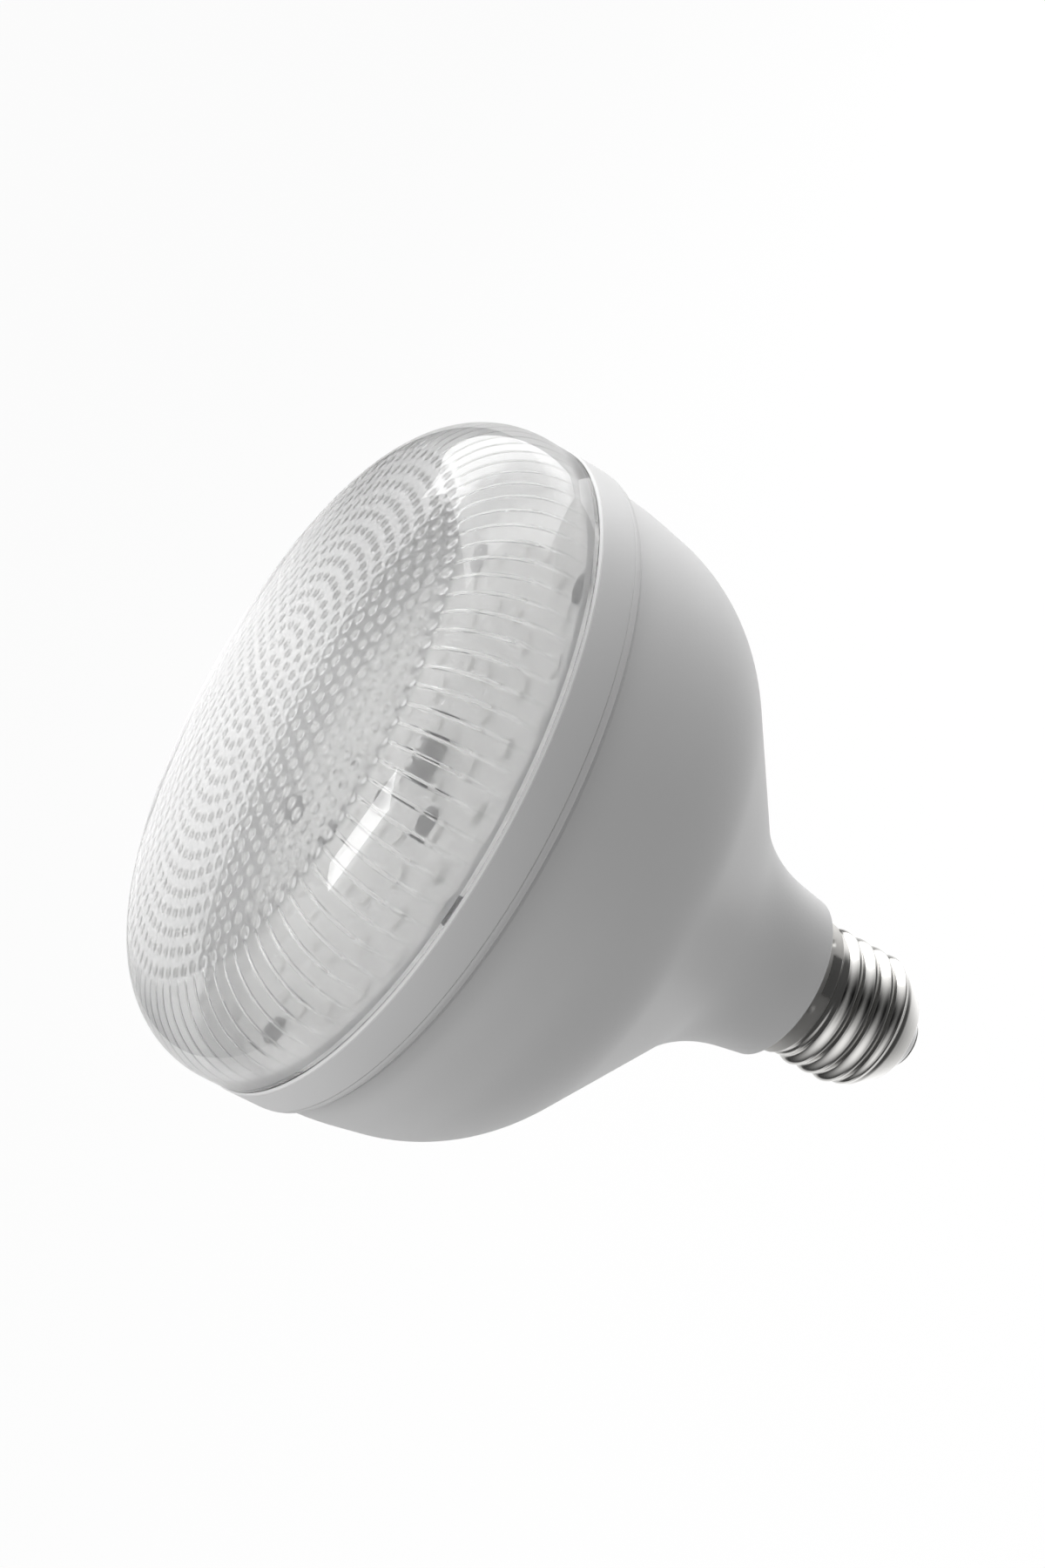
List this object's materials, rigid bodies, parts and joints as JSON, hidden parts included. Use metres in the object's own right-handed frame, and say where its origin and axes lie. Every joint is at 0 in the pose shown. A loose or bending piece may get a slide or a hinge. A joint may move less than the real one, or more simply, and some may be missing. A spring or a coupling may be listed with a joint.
{
  "type": "led reflector bulb",
  "caption": "LED reflector bulb with a ribbed clear lens, a white ring and flared plastic body, and a screw cap.",
  "frame": {"origin": "tip of the centre contact, on the axis", "axes": "+Z along the axis from the screw cap to the lens, +X and +Y square to it"},
  "size_m": [0.123, 0.123, 0.1418],
  "materials": {
    "contact": "satin nickel",
    "insulator": "gloss",
    "cap_metal": "polished nickel plate",
    "body_white": "fine satin moulding",
    "ring_white": "smooth satin",
    "lens_clear": "clear gloss polycarbonate",
    "sink_metal": "spun satin",
    "board_white": "white solder mask",
    "chip_pale": "pale phosphor resin",
    "screw_dark": "black zinc",
    "connector_black": "satin",
    "driver_green": "satin solder mask",
    "epoxy_black": "matt epoxy",
    "fuse_green": "lacquer",
    "varistor_blue": "epoxy dip",
    "film_red": "epoxy dip",
    "ferrite": "matt ferrite",
    "can_black": "shrink sleeve",
    "can_green": "shrink sleeve",
    "tape_yellow": "polyester tape",
    "wire_red": "wire insulation",
    "wire_black": "wire insulation"
  },
  "bodies": {
    "root": {"centre_contact": "contact", "cap_insulator": "insulator", "screw_shell": "cap_metal", "housing_shell": "body_white", "front_ring": "ring_white", "lens_cover": "lens_clear", "heat_sink": "sink_metal", "led_board": "board_white", "led_chips": "chip_pale", "board_screws": "screw_dark", "board_connector": "connector_black", "driver_board": "driver_green", "bridge_rectifier": "epoxy_black", "fuse_resistor": "fuse_green", "varistor": "varistor_blue", "film_capacitor": "film_red", "line_inductor": "ferrite", "output_diode": "epoxy_black", "input_capacitor": "can_black", "output_capacitor": "can_green", "transformer_core": "ferrite", "transformer_winding": "tape_yellow", "control_chip": "epoxy_black", "live_wire": "wire_red", "neutral_wire": "wire_black", "led_wire_positive": "wire_red", "led_wire_negative": "wire_black"}
  },
  "joints": []
}
